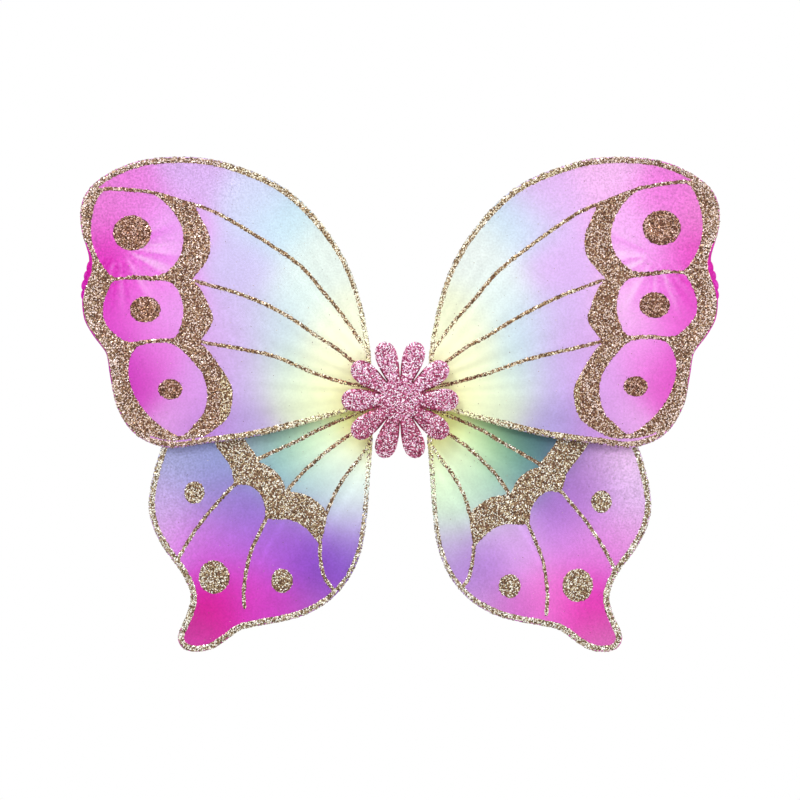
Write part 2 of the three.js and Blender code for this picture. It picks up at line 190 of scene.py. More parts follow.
def dye_and_painted_light_at(level, side_name, points):
    """The dye's colour at points (x, z) of the +X side, with the painted light and shade of its
    spots.
    """
    column = 2 if side_name == "left" else 3
    places = np.array([row[:2] for row in DYES_AND_PAINTED_LIGHT[level]]) * MM
    colours = np.array([linear(row[column]) for row in DYES_AND_PAINTED_LIGHT[level]]) ** (1 / 2.2)
    gap = np.linalg.norm(points[:, None, :] - places[None, :, :], axis=2)
    nearest = gap.min(axis=1, keepdims=True)
    weight = np.exp(-(gap ** 2 - nearest ** 2) / (2 * DYE_REACH ** 2))
    mixed = weight @ colours / weight.sum(axis=1, keepdims=True)
    return mixed ** 2.2 / LIGHT_GAIN


# ------------------------------------------------------------------ flat outlines


def face_loops(node, side=1):
    """The outlines of a node's foremost flat face, as (x, z) loops with x times side, longest
    loop first."""
    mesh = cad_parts[node].data
    foremost = min(v.co.y for v in mesh.vertices)
    edges = {}  # a dict, which keeps their order
    following = {}
    for polygon in mesh.polygons:
        corners = [mesh.vertices[i].co for i in polygon.vertices]
        if max(c.y for c in corners) > foremost + 0.01 * MM:
            continue
        keys = [(round(c.x * side, 6), round(c.z, 6)) for c in corners]
        edges.update(dict.fromkeys(zip(keys, keys[1:] + keys[:1])))
    for start, end in edges:
        if (end, start) not in edges:
            following.setdefault(start, []).append(end)
    loops = []
    while following:
        start = next(iter(following))
        loop = [start]
        while True:
            ends = following[loop[-1]]
            end = ends.pop()
            if not ends:
                del following[loop[-1]]
            if end == start:
                break
            loop.append(end)
        loops.append(np.array(loop))
    return sorted(loops, key=len, reverse=True)


def catmull_rom(points, steps=8):
    padded = np.vstack([2 * points[0] - points[1], points, 2 * points[-1] - points[-2]])
    t = np.linspace(0, 1, steps, endpoint=False)[:, None]
    stretches = []
    for a, b, c, d in zip(padded, padded[1:], padded[2:], padded[3:]):
        quadratic = 2 * a - 5 * b + 4 * c - d
        cubic = 3 * b - a - 3 * c + d
        stretches.append((2 * b + (c - a) * t + quadratic * t ** 2 + cubic * t ** 3) / 2)
    return np.vstack([*stretches, points[-1:]])


def spaced(line, spacing):
    """The line again, with points evenly spaced along it."""
    steps = np.linalg.norm(np.diff(line, axis=0), axis=1)
    along = np.concatenate([[0], np.cumsum(steps)])
    count = max(2, round(along[-1] / spacing) + 1)
    at = np.linspace(0, along[-1], count)
    return np.column_stack([np.interp(at, along, line[:, k]) for k in range(line.shape[1])])


def spaced_loop(loop, spacing):
    return spaced(np.vstack([loop, loop[:1]]), spacing)[:-1]


def directions(line, closed=False):
    """Unit vectors along the line at each of its points."""
    if closed:
        along = np.roll(line, -1, axis=0) - np.roll(line, 1, axis=0)
    else:
        along = np.gradient(line, axis=0)
    return along / np.linalg.norm(along, axis=1, keepdims=True)


def normals(line, closed=False):
    """Unit vectors to the right of the line's travel."""
    along = directions(line, closed)
    return np.column_stack([along[:, 1], -along[:, 0]])


def softened(loop, passes):
    for _ in range(passes):
        loop = (np.roll(loop, 1, axis=0) + 2 * loop + np.roll(loop, -1, axis=0)) / 4
    return loop


def inside(points, loops):
    """Which points lie inside the outer loop and outside the holes."""
    x, z = points[:, 0], points[:, 1]
    found = np.zeros(len(points), bool)
    for loop in loops:
        following = np.roll(loop, -1, axis=0)
        for (ax, az), (bx, bz) in zip(loop, following):
            if az == bz:
                continue
            crosses = (az > z) != (bz > z)
            found ^= crosses & (x < (bx - ax) * (z - az) / (bz - az) + ax)
    return found


def distances(points, line):
    tree = kdtree.KDTree(len(line))
    for i, (x, z) in enumerate(line):
        tree.insert((x, z, 0), i)
    tree.balance()
    return np.array([tree.find((x, z, 0))[2] for x, z in points])


def lattice(loops, pitch, dice, clear):
    """Jittered points of a triangular lattice inside the loops, at least clear from them."""
    low = np.vstack(loops).min(axis=0)
    high = np.vstack(loops).max(axis=0)
    rows = np.arange(low[1], high[1], pitch * math.sqrt(3) / 2)
    columns = np.arange(low[0], high[0], pitch)
    x, z = np.meshgrid(columns, rows)
    x = x + (np.arange(len(rows)) % 2)[:, None] * pitch / 2
    points = np.column_stack([x.ravel(), z.ravel()])
    points = points + dice.uniform(-0.25, 0.25, points.shape) * pitch
    points = points[inside(points, loops)]
    return points[distances(points, np.vstack(loops)) > clear]


def triangles(loops, inner, extra_edges=()):
    """Vertices, loops first, and the triangles that fill the loops."""
    points = np.vstack([*loops, inner])
    edges = list(extra_edges)
    first = 0
    for loop in loops:
        count = len(loop)
        edges += [(first + i, first + (i + 1) % count) for i in range(count)]
        first += count
    vectors = [Vector(p) for p in points]
    found = delaunay_2d_cdt(vectors, edges, [], 0, 1e-9, True)
    vertices = np.array([tuple(v) for v in found[0]])
    faces = np.array([face for face in found[2] if len(face) == 3])
    centres = vertices[faces].mean(axis=1)
    faces = faces[inside(centres, loops)]
    return vertices, faces


# ------------------------------------------------------------------ meshes


def new_object(name, vertices, faces, material, smooth=True):
    mesh = bpy.data.meshes.new(name)
    mesh.from_pydata([tuple(v) for v in vertices], [], [tuple(int(i) for i in f) for f in faces])
    mesh.validate()
    mesh.update()
    mesh.polygons.foreach_set("use_smooth", [smooth] * len(mesh.polygons))
    mesh.materials.append(material)
    piece = bpy.data.objects.new(name, mesh)
    bpy.context.collection.objects.link(piece)
    return piece


@contextmanager
def edited(piece):
    """The piece's mesh, open to changes."""
    work = bmesh.new()
    work.from_mesh(piece.data)
    yield work
    work.to_mesh(piece.data)
    work.free()


def turn_outward(piece):
    """Makes the faces of a closed piece face out."""
    with edited(piece) as work:
        bmesh.ops.recalc_face_normals(work, faces=work.faces[:])


def add_rest(piece):
    """Keeps each vertex's place at rest, which the patterns are laid out by."""
    places = np.zeros(len(piece.data.vertices) * 3, np.float32)
    piece.data.vertices.foreach_get("co", places)
    rest = piece.data.attributes.new("rest", "FLOAT_VECTOR", "POINT")
    rest.data.foreach_set("vector", places)


def closed_object(name, vertices, faces, material, slot):
    piece = new_object(name, vertices, faces, material)
    turn_outward(piece)
    add_rest(piece)
    return piece


def add_colour(piece, name, colours, domain="POINT"):
    rows = np.column_stack([colours, np.ones(len(colours))]).astype(np.float32)
    layer = piece.data.attributes.new(name, "FLOAT_COLOR", domain)
    layer.data.foreach_set("color", rows.ravel())


def add_value(piece, name, values, domain="POINT"):
    layer = piece.data.attributes.new(name, "FLOAT", domain)
    layer.data.foreach_set("value", np.asarray(values, np.float32))


def tube(line, radius, sides, up):
    """Vertices and faces of a round tube along a line of (x, y, z) points."""
    line = np.asarray(line)
    along = directions(line)
    across = np.cross(along, up)
    across /= np.linalg.norm(across, axis=1, keepdims=True)
    third = np.cross(along, across)
    angles = np.linspace(0, 2 * math.pi, sides, endpoint=False)
    rings = [line + radius * (math.cos(a) * across + math.sin(a) * third) for a in angles]
    vertices = np.stack(rings, axis=1).reshape(-1, 3)
    return vertices, grid_faces(len(line), sides, capped=True)


def grid_faces(rows, columns, capped=False):
    """Faces between rings of points, and over both ends where it is capped."""
    faces = []
    for row in range(rows - 1):
        after = row + 1
        for column in range(columns):
            beside = (column + 1) % columns
            faces.append([row * columns + column, row * columns + beside,
                          after * columns + beside, after * columns + column])
    if capped:
        faces.append(list(range(columns)))
        faces.append([(rows - 1) * columns + i for i in range(columns)])
    return faces


def placed(flat, y, side=1):
    """Points (x, z) of the +X side as (x, y, z) points of the given side."""
    return np.column_stack([flat[:, 0] * side, np.broadcast_to(y, len(flat)), flat[:, 1]])


def joined(parts):
    """Several (vertices, faces) as one."""
    vertices = []
    faces = []
    first = 0
    for part_vertices, part_faces in parts:
        vertices.append(np.asarray(part_vertices))
        faces += [[first + i for i in face] for face in part_faces]
        first += len(part_vertices)
    return np.vstack(vertices), faces


# ------------------------------------------------------------------ materials


class Shader:
    """A material with a Principled shader, and short calls to wire nodes into it."""

    def __init__(self, name, roughness, metallic=0.0, sheen=0.0):
        self.material = bpy.data.materials.new(name)
        self.material.use_nodes = True
        self.tree = self.material.node_tree
        self.surface = self.tree.nodes["Principled BSDF"]
        self.output = self.tree.nodes["Material Output"]
        self.surface.inputs["Roughness"].default_value = roughness
        self.surface.inputs["Metallic"].default_value = metallic
        self.surface.inputs["Sheen Weight"].default_value = sheen

    def node(self, kind, **settings):
        made = self.tree.nodes.new(kind)
        for key, value in settings.items():
            if hasattr(made, key):
                setattr(made, key, value)
            else:
                made.inputs[key.replace("_", " ")].default_value = value
        return made

    def link(self, source, target):
        self.tree.links.new(source, target)

    def attribute(self, name):
        return self.node("ShaderNodeAttribute", attribute_name=name)

    def noise(self, where, scale, detail=3.0):
        made = self.node("ShaderNodeTexNoise", Scale=scale, Detail=detail)
        self.link(where, made.inputs["Vector"])
        return made.outputs["Fac"]

    def remap(self, value, low, high):
        made = self.node("ShaderNodeMapRange")
        made.inputs["From Min"].default_value = 0.3
        made.inputs["From Max"].default_value = 0.7
        made.inputs["To Min"].default_value = low
        made.inputs["To Max"].default_value = high
        self.link(value, made.inputs["Value"])
        return made.outputs["Result"]

    def math(self, operation, first, second):
        made = self.node("ShaderNodeMath", operation=operation)
        for value, socket in zip((first, second), made.inputs):
            if isinstance(value, (int, float)):
                socket.default_value = value
            else:
                self.link(value, socket)
        return made.outputs["Value"]

    def scaled(self, colour, factor):
        made = self.node("ShaderNodeVectorMath", operation="SCALE")
        if isinstance(colour, (tuple, list, np.ndarray)):
            made.inputs[0].default_value = tuple(colour)[:3]
        else:
            self.link(colour, made.inputs[0])
        self.link(factor, made.inputs["Scale"])
        return made.outputs["Vector"]

    def bump(self, height, distance, strength=1.0):
        made = self.node("ShaderNodeBump")
        made.inputs["Distance"].default_value = distance
        made.inputs["Strength"].default_value = strength
        self.link(height, made.inputs["Height"])
        self.link(made.outputs["Normal"], self.surface.inputs["Normal"])
        return made.outputs["Normal"]


def fabric(name):
    """Sheer knitted nylon, partly see-through: the dye's colour with its painted light and shade,
    and a fine mottled knit whose lighter specks are partly painted highlight for the knit's
    glints.
    """
    look = Shader(name, roughness=0.6, sheen=0.03)
    look.surface.inputs["Specular IOR Level"].default_value = 0.12
    rest = look.attribute("rest").outputs["Vector"]
    # The sleeve's colour: its dye with painted light and shade in it.
    dye_and_painted_light = look.attribute("dye_and_painted_light").outputs["Color"]
    # The speckle bumps the knit and varies its tone; its lighter specks are painted highlight for
    # the knit's glints.
    speckle = look.remap(look.noise(rest, 640, 2.0), -0.2, 0.22)
    mottle_and_glints = look.math("MULTIPLY", speckle, look.attribute("mottle_and_glints").outputs["Fac"])
    grain = look.math("ADD", mottle_and_glints, 1.0)
    cloud = look.remap(look.noise(rest, 160, 3.0), 0.97, 1.03)
    colour = look.scaled(dye_and_painted_light, look.math("MULTIPLY", grain, cloud))
    look.link(colour, look.surface.inputs["Base Color"])
    split = look.node("ShaderNodeSeparateXYZ")
    look.link(rest, split.inputs[0])
    rows = look.math("SINE", look.math("MULTIPLY", split.outputs["X"], 7000.0), 0.0)
    columns = look.math("SINE", look.math("MULTIPLY", split.outputs["Z"], 9000.0), 0.0)
    knit = look.math("MULTIPLY", rows, columns)
    height = look.math("ADD", knit, look.math("MULTIPLY", grain, 3.0))
    normal = look.bump(height, 0.00012)
    glow = look.node("ShaderNodeBsdfTranslucent")
    look.link(colour, glow.inputs["Color"])
    look.link(normal, glow.inputs["Normal"])
    body = look.node("ShaderNodeMixShader")
    body.inputs["Fac"].default_value = 0.12
    look.link(look.surface.outputs["BSDF"], body.inputs[1])
    look.link(glow.outputs["BSDF"], body.inputs[2])
    clear = look.node("ShaderNodeBsdfTransparent")
    mixed = look.node("ShaderNodeMixShader")
    look.link(look.attribute("cover").outputs["Fac"], mixed.inputs["Fac"])
    look.link(clear.outputs["BSDF"], mixed.inputs[1])
    look.link(body.outputs["Shader"], mixed.inputs[2])
    look.link(mixed.outputs["Shader"], look.output.inputs["Surface"])
    return look.material


def flakes(name, metallic):
    """Glitter: each facet has its own colour and gloss."""
    look = Shader(name, roughness=0.35, metallic=metallic)
    look.link(look.attribute("grain").outputs["Color"], look.surface.inputs["Base Color"])
    look.link(look.attribute("gloss").outputs["Fac"], look.surface.inputs["Roughness"])
    return look.material


def plain(name, code, roughness, metallic=0.0, sheen=0.0, grain=900, depth=0.0001, spread=0.1):
    """One colour with a fine grain in its tone and its surface."""
    look = Shader(name, roughness, metallic, sheen)
    rest = look.attribute("rest").outputs["Vector"]
    speckle = look.noise(rest, grain)
    factor = look.remap(speckle, 1 - spread, 1 + spread / 2)
    look.link(look.scaled(linear(code), factor), look.surface.inputs["Base Color"])
    look.bump(speckle, depth)
    return look.material


# ------------------------------------------------------------------ the sleeves' shape

RIM_RADIUS = 1.45 * MM  # of the fabric round the wire
LAYER_GAP = 0.35 * MM  # from the middle plane to each layer, away from the wire
SLOPE = 12 * MM  # over which the layers come together
NECK_END = 11.2 * MM
NECK_HALF = 2.9 * MM
# The folds of fabric puckered round the wire at the upper wing's notch: (height, half width,
# swell).
LOBES = np.array([(100, 3.4, 1.2), (93.5, 3.6, 2.0), (86.5, 4.2, 2.2), (79.5, 3.4, 1.2)]) * MM
NOTCH_X = 0.2  # the notch, and the doubled hem by it, lie further out than this
# How high the fabric waves: pleats from the neck, broad swells, and the fan by the notch.
PLEAT_RISE = 1.3 * MM
PLEAT_FADE = (30 * MM, 150 * MM)
SWELL_RISE = 1.2 * MM
FAN_RISE = 0.9 * MM
FLAT_NEAR_WIRE = (1 * MM, 14 * MM)
FANS = {-1: np.array([210, 114]) * MM, 1: np.array([192, 109]) * MM}  # pleats fan out from here
FAN_WAY = np.array([-0.5, -0.87])  # towards the middle and down
# The knit is bumpier, with more painted glints in its colour, towards the upper wing's top and
# the lower wing's outer edge.
BUMPY_WAY = {"upper": np.array([0.6, 0.8]), "lower": np.array([1.0, 0.3])}
BUMPY = {"upper": (0.17, 0.24), "lower": (0.1, 0.16)}
CREASE_HIGHLIGHT = spaced(np.array([(88, -92), (97, -106), (105, -123)]) * MM, 0.5 * MM)  # a painted highlight along a fold crease in a lower cell


def smoothstep(low, high, values):
    t = np.clip((values - low) / (high - low), 0, 1)
    return t * t * (3 - 2 * t)


def polar(points, centre):
    """Each point's distance from the centre, and its direction."""
    x, z = (points - centre).T
    return np.hypot(x, z), np.arctan2(z, x)


def noise_at(a, b, c):
    """Smooth noise at each (a, b, c), any of which may be one number."""
    return np.array([noise.noise(place) for place in np.broadcast(a, b, c)])


class Wing:
    """One wing's outline on the +X side, and the height of its fabric."""

    def __init__(self, level):
        node = f"{level}_right_sleeve"
        low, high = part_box(node)
        self.level = level
        self.y = (low.y + high.y) / 2
        self.seed = 3.7 if level == "upper" else 11.3
        loop = face_loops(node)[0]
        nearest = loop[:, 0].min() + 0.01 * MM
        ends = [i for i in range(len(loop)) if loop[i, 0] < nearest]
        start = ends[1] if ends[1] - ends[0] == 1 else ends[0]
        loop = np.roll(loop, -start, axis=0)
        if loop[0, 1] < loop[-1, 1]:
            loop = loop[::-1]
        self.neck_z = (loop[0, 1] + loop[-1, 1]) / 2
        top = np.array([[NECK_END, NECK_HALF], [13.5 * MM, NECK_HALF]]) + [0, self.neck_z]
        bottom = np.array([[13.5 * MM, -NECK_HALF], [NECK_END, -NECK_HALF]]) + [0, self.neck_z]
        outline = np.vstack([top, catmull_rom(loop), bottom])
        self.path = spaced(outline, 1.0 * MM)
        self.inward = normals(self.path)
        self.core = self.path + self.inward * RIM_RADIUS
        self.edge_tree = spaced(self.core, 0.5 * MM)

    def lobes(self):
        """How much fuller the fabric's fold is round the wire, where the notch puckers it."""
        if self.level == "lower":
            return np.zeros(len(self.path))
        fuller = np.zeros(len(self.path))
        for height, half_width, swell in LOBES:
            share = np.clip(1 - ((self.path[:, 1] - height) / half_width) ** 2, 0, 1)
            fuller = np.maximum(fuller, swell * np.sqrt(share) * (self.path[:, 0] > NOTCH_X))
        return fuller

    def depth(self, points):
        """How far each point is from the wire."""
        return distances(points, self.edge_tree)

    def half(self, depth):
        return LAYER_GAP + (RIM_RADIUS - LAYER_GAP) * (1 - smoothstep(0, SLOPE, depth))

    def rise(self, points, depth, side):
        """How far the fabric stands behind (+) or before (-) the middle plane."""
        reach, angle = polar(points, (0, self.neck_z))
        seed = self.seed + side
        pleats = noise_at(angle * 9.0, reach * 8.0, seed)
        gather = PLEAT_RISE * pleats * (1 - smoothstep(*PLEAT_FADE, reach))
        swell = SWELL_RISE * noise_at(points[:, 0] * 22.0, points[:, 1] * 22.0, seed + 5)
        pull = 0
        if self.level == "upper":
            far, turn = polar(points, FANS[side])
            rays = noise_at(turn * 6.0, seed, 1.5)
            fading = smoothstep(5 * MM, 18 * MM, far) * (1 - smoothstep(20 * MM, 60 * MM, far))
            pull = FAN_RISE * rays * fading
        return (gather + swell + pull) * smoothstep(*FLAT_NEAR_WIRE, depth)

    def front(self, points, side):
        """y of the front layer, which curves back outside the wire's own line."""
        depth = self.depth(points)
        y = self.y + self.rise(points, depth, side) - self.half(depth)
        beyond = ~inside(points, [self.core])
        y[beyond] = self.y - np.sqrt(np.clip(RIM_RADIUS ** 2 - depth[beyond] ** 2, 0, None))
        return y


WINGS = {level: Wing(level) for level in LEVELS}
RIM_RINGS = 5
WEAVE = 2.0 * MM  # from one point of the fabric's mesh to the next
CLEAR = 1.4 * MM  # how far the points stay off the wire
NECK_WEAVE = 1.5 * MM  # closer near the neck
NECK_CLEAR = 1.0 * MM
NECK_REACH = 60 * MM
COVER = 0.92  # how opaque the knit is
NECK_COVER = 0.07  # what its gathers add at the neck
HEM_COVER = 0.97
SHOW_THROUGH = (0.74, 0.66, 0.64)  # the print seen through the fabric from behind


def dot_nodes(level, side_name):
    prefix = f"{level}_{side_name}_"
    return sorted(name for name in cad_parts
                  if name.startswith(prefix) and name.endswith("_dot"))


def add_sleeve(level, side_name, material):
    wing = WINGS[level]
    side = SIDES[side_name]
    dice = np.random.default_rng(len(level) + side)
    inner = lattice([wing.core], WEAVE, dice, CLEAR)
    close = lattice([wing.core], NECK_WEAVE, dice, NECK_CLEAR)
    root = np.array([0.02, wing.neck_z])
    close = close[np.linalg.norm(close - root, axis=1) < NECK_REACH]
    inner = inner[np.linalg.norm(inner - root, axis=1) >= NECK_REACH]
    flat, faces = triangles([wing.core], np.vstack([inner, close]))
    count = len(flat)
    depth = wing.depth(flat)
    middle_y = wing.y + wing.rise(flat, depth, side)
    half = wing.half(depth)
    layers = [placed(flat, middle_y + sign * half, side) for sign in (-1, 1)]
    rim_count = len(wing.core)
    lobes = wing.lobes()
    rings = [list(range(rim_count))]
    rim = []
    for ring in range(1, RIM_RINGS):
        turn = math.pi * ring / RIM_RINGS - math.pi / 2
        out = (RIM_RADIUS + lobes) * math.cos(turn)
        around = wing.core - wing.inward * out[:, None]
        y = wing.y + (RIM_RADIUS + lobes) * math.sin(turn)
        first = 2 * count + (ring - 1) * rim_count
        rings.append(list(range(first, first + rim_count)))
        rim.append(placed(around, y, side))
    rings.append(list(range(count, count + rim_count)))
    all_faces = [tuple(f) for f in faces] + [tuple(f + count)[::-1] for f in faces]
    for ring, after in zip(rings, rings[1:]):
        for i in range(rim_count - 1):
            all_faces.append((ring[i], ring[i + 1], after[i + 1], after[i]))
    vertices = np.vstack([*layers, *rim])
    piece = closed_object(f"{level}_{side_name}_fabric", vertices, all_faces, material,
                          f"{level}_fabric")
    flat_all = np.column_stack([vertices[:, 0] * side, vertices[:, 2]])
    dye_and_painted_light = dye_with_painted_light(wing, side_name, flat_all)
    print_loops = face_loops(f"{level}_{side_name}_glitter", side)
    for node in dot_nodes(level, side_name):
        print_loops += face_loops(node, side)
    shown = inside(flat_all, print_loops)
    shown[:count] = False
    shown[2 * count:] = False
    dye_and_painted_light[shown] *= SHOW_THROUGH
    # The dye with the painted light and shade of its spots, streaks and crease.
    add_colour(piece, "dye_and_painted_light", dye_and_painted_light)
    reach = np.linalg.norm(flat_all - root, axis=1)
    edge = wing.depth(flat_all)
    cover = COVER + NECK_COVER * (1 - smoothstep(0.02, 0.07, reach))
    cover = np.maximum(cover, HEM_COVER * (edge < 1.6 * MM))
    add_value(piece, "cover", cover)
    bumpy = smoothstep(*BUMPY[level], flat_all @ BUMPY_WAY[level])
    # How strong the knit's bumps, tone and painted glints are.
    add_value(piece, "mottle_and_glints", (0.35 + 0.55 * bumpy) * smoothstep(0.02, 0.12, reach))
    return piece


def dye_with_painted_light(wing, side_name, points):
    """The dye with painted light and shade: lighter and darker streaks on the pleats at the neck
    and in the fan below the notch, and lighter near the root against the flower's shade. It is
    also richer where the fabric is doubled at the edge.
    """
    colours = dye_and_painted_light_at(wing.level, side_name, points)
    reach, angle = polar(points, (0, wing.neck_z))
    # Painted light and shade: lighter and darker streaks along the pleats that radiate from the
    # neck.
    streaks = noise_at(angle * 14.0, reach * 5.0, wing.seed)
    tone = 1 + 0.12 * streaks * (1 - smoothstep(0.06, 0.2, reach))
    # Painted light: lighter near the root, against the shade the flower casts there.
    tone += 0.14 * (1 - smoothstep(0.04, 0.11, reach))
    power = np.full(len(points), 1.05)
    if wing.level == "lower":
        # A painted highlight: a lighter line along the lower wing's fold crease.
        off_crease = distances(points, CREASE_HIGHLIGHT)
        tone += 0.14 * np.exp(-(off_crease / (1.6 * MM)) ** 2)
    if wing.level == "upper":
        fan = FANS[SIDES[side_name]]
        away = points - fan
        far, turn = polar(points, fan)
        # Painted light and shade: lighter and darker rays along the pleats that fan down from the
        # notch.
        rays = noise_at(turn * 6.5 + 1.3, 2.0, wing.seed)
        rays += 0.5 * noise_at(turn * 17.0, 5.0, wing.seed)
        downward = smoothstep(-0.3, 0.5, away @ FAN_WAY / np.maximum(far, MM))
        fading = smoothstep(0.003, 0.014, far) * (1 - smoothstep(0.026, 0.056, far))
        power -= 0.7 * (rays + 0.05) * downward * fading
        hem = (wing.depth(points) < 2.0 * MM) & (points[:, 0] > NOTCH_X)
        power[hem] = 1.5
    power = np.clip(power, 0.5, 1.8)[:, None]
    return np.clip(colours ** power * tone[:, None], 0, 1)


# ------------------------------------------------------------------ glitter

FLAKE = 1.02 * MM  # from one flake to the next
SPILL = 0.55 * MM  # how far the flakes spread past the print's drawn edge
EDGE_ROUGHNESS = 0.18 * MM
HEM_REACH = 2.0 * MM  # the border's outer edge lies this close to the wing's edge
HEM_SPILL = 1.4 * MM  # and its flakes spread further there
BARE_HEM = (12 * MM, 118 * MM)  # between these heights the upper wing's hem stays bare
BRONZE = [("44301c", 0.22), ("6e4c38", 0.30), ("907050", 0.20), ("c8b48c", 0.12),
          ("faf2e0", 0.16)]
SILVERY = [("4e3c28", 0.22), ("7c6046", 0.25), ("a08a68", 0.19), ("d8ccb0", 0.14),
           ("fdf8ea", 0.20)]
SILVERY_DEPTH = {"upper": 5 * MM, "lower": 9 * MM}  # flakes are silvery this near a wing's edge
BARE_REACH = (45 * MM, 105 * MM)  # nearer the root than this the fabric shows between flakes
# Dark red-brown flakes for the veins by the root: painted shade and painted red reflection of the
# flower.
ROOT_SHADE_FLAKES = [("4c2018", 0.36), ("7c4430", 0.30), ("a87c58", 0.16), ("e0c8a4", 0.18)]
ROOT_SHADE_REACH = 62 * MM  # nearer the root than this the veins get dark red-brown flakes: painted shade of the flower, with a painted reflection of its red
TINTS = {"upper": (0.96, 0.83, 0.90), "lower": (1.05, 1.10, 1.16), "upper_dot": (0.78, 0.56, 0.58),
         "lower_dot": (1.05, 1.10, 1.16)}
VEIN_TINT = (1.08, 1.22, 1.05)
PALE_VEIN_REACH = 0.135  # the upper veins are paler up to here
PINK = [("741a40", 0.29), ("a83e6a", 0.22), ("cc769c", 0.15), ("e4b2d6", 0.14), ("fff4ff", 0.20)]
# The lower petals' darker flakes: painted shade, as they face down, away from the light.
LOWER_PETAL_SHADE = [("641230", 0.34), ("9c365c", 0.25), ("c06888", 0.16), ("dca6c6", 0.11), ("fceef8", 0.14)]
# Dark flakes by the slits: painted shade where the slits between the petals are nearly closed.
SLIT_PAINTED_SHADE = [("5c0a28", 0.6), ("8c1c48", 0.3), ("b84878", 0.1)]


def pick(palette, count, dice):
    colours = np.array([linear(code) for code, _ in palette])
    shares = np.array([share for _, share in palette])
    return colours[dice.choice(len(palette), count, p=shares / shares.sum())]


def print_piece(name, wing, side, loops, material, dice, specks=()):
    """A layer of glitter flakes over the loops' area, its edge sunk into the wing's fabric.
    specks are points of single grains beside it."""
    rough = []
    for loop in loops:
        line = softened(spaced_loop(loop, 0.8 * FLAKE), 3)
        at_hem = distances(line, wing.path) < HEM_REACH
        bare = (wing.level == "upper") & (line[:, 0] > NOTCH_X)
        bare &= (line[:, 1] > BARE_HEM[0]) & (line[:, 1] < BARE_HEM[1])
        spill = np.where(at_hem & ~bare, HEM_SPILL, SPILL)[:, None]
        line = line + side * spill * normals(line, closed=True)
        rough.append(line + dice.normal(0, EDGE_ROUGHNESS, line.shape))
    inner = lattice(rough, FLAKE, dice, 0.5 * FLAKE)
    flat, faces = triangles(rough, inner)
    edge = sum(len(loop) for loop in rough)
    lift = dice.uniform(0.12, 0.5, len(flat)) * MM
    lift[:edge] = -0.12 * MM
    vertices = placed(flat, wing.front(flat, side) - lift, side)
    parts = [(vertices, [list(f) for f in faces])]
    if len(specks):
        parts.append(grains(specks, wing.front(specks, side), side, dice))
    vertices, faces = joined(parts)
    piece = new_object(name, vertices, faces, material, smooth=False)
    face_forward(piece)
    total = len(piece.data.polygons)
    centres = np.array([tuple(polygon.center) for polygon in piece.data.polygons])
    centres = centres[:, (0, 2)] * (side, 1)
    depth = wing.depth(centres) + dice.normal(0, 3 * MM, total)
    silvery = (depth < SILVERY_DEPTH[wing.level])[:, None]
    colours = np.where(silvery, pick(SILVERY, total, dice), pick(BRONZE, total, dice))
    colours = colours * TINTS[wing.level + ("_dot" if "_dot" in name else "")]
    pale_vein = (centres[:, 0] < PALE_VEIN_REACH) & (wing.level == "upper")
    colours[pale_vein] *= VEIN_TINT
    reach = np.linalg.norm(centres, axis=1)
    # Painted shade: veins near the root take dark red-brown flakes for the flower's shade and red
    # glow.
    root_shaded = (reach + dice.normal(0, 8 * MM, total) < ROOT_SHADE_REACH) & (depth > 6 * MM)
    colours[root_shaded] = pick(ROOT_SHADE_FLAKES, total, dice)[root_shaded]
    share = np.where(depth > 6 * MM, 0.12, 0.42) * (1 - smoothstep(*BARE_REACH, reach))
    bare = dice.uniform(0, 1, total) < share
    side_name = "left" if side < 0 else "right"
    colours[bare] = dye_with_painted_light(wing, side_name, centres[bare]) * LIGHT_GAIN
    add_colour(piece, "grain", colours / LIGHT_GAIN, "FACE")
    gloss = dice.uniform(0.18, 0.5, total)
    gloss[bare] = 0.7
    add_value(piece, "gloss", gloss, "FACE")
    return piece


def grains(points, heights, side, dice):
    """Single flakes: low three-sided pyramids standing on the fabric."""
    vertices = []
    faces = []
    for (x, z), y in zip(points, heights):
        first = len(vertices)
        size = dice.uniform(0.3, 0.6) * MM
        turn = dice.uniform(0, 2 * math.pi)
        for k in range(3):
            a = turn + k * 2 * math.pi / 3
            vertices.append((side * (x + size * math.cos(a)), y + 0.05 * MM,
                             z + size * math.sin(a)))
        vertices.append((side * x, y - 0.25 * MM, z))
        for k in range(3):
            faces.append([first + k, first + (k + 1) % 3, first + 3])
    return np.array(vertices), faces


def face_forward(piece):
    """Turns every face of a print to face -Y."""
    with edited(piece) as work:
        work.normal_update()
        bmesh.ops.reverse_faces(work, faces=[f for f in work.faces if f.normal.y > 0])


def add_prints(level, side_name, material):
    wing = WINGS[level]
    side = SIDES[side_name]
    dice = np.random.default_rng(40 + len(level) * 3 + side)

    node = f"{level}_{side_name}_glitter"
    loops = face_loops(node, side)
    line = np.vstack([spaced_loop(loop, 1.2 * MM) for loop in loops])
    chosen = line[dice.choice(len(line), len(line) // 5, replace=False)]
    specks = chosen + dice.normal(0, 1.6 * MM, chosen.shape)
    strays = lattice([wing.core], 16 * MM, dice, 3 * MM)
    specks = np.vstack([specks, strays + dice.normal(0, 4 * MM, strays.shape)])
    specks = specks[inside(specks, [wing.core]) & ~inside(specks, loops)]
    layer = print_piece(f"{level}_{side_name}_glitter_print", wing, side, loops, material, dice,
                        specks)
    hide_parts(node)
    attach(layer, f"{level}_{side_name}_wing")
    for name in dot_nodes(level, side_name):
        loops = [catmull_ring(face_loops(name, side)[0])]
        dot = print_piece(f"{name}_print", wing, side, loops, material, dice)
        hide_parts(name)
        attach(dot, f"{level}_{side_name}_wing")


def catmull_ring(loop):
    """A smooth closed curve through a loop's points."""
    long = np.vstack([loop[-1:], loop, loop[:2]])
    return catmull_rom(long)[8:-8][:-1]


# ------------------------------------------------------------------ the flower

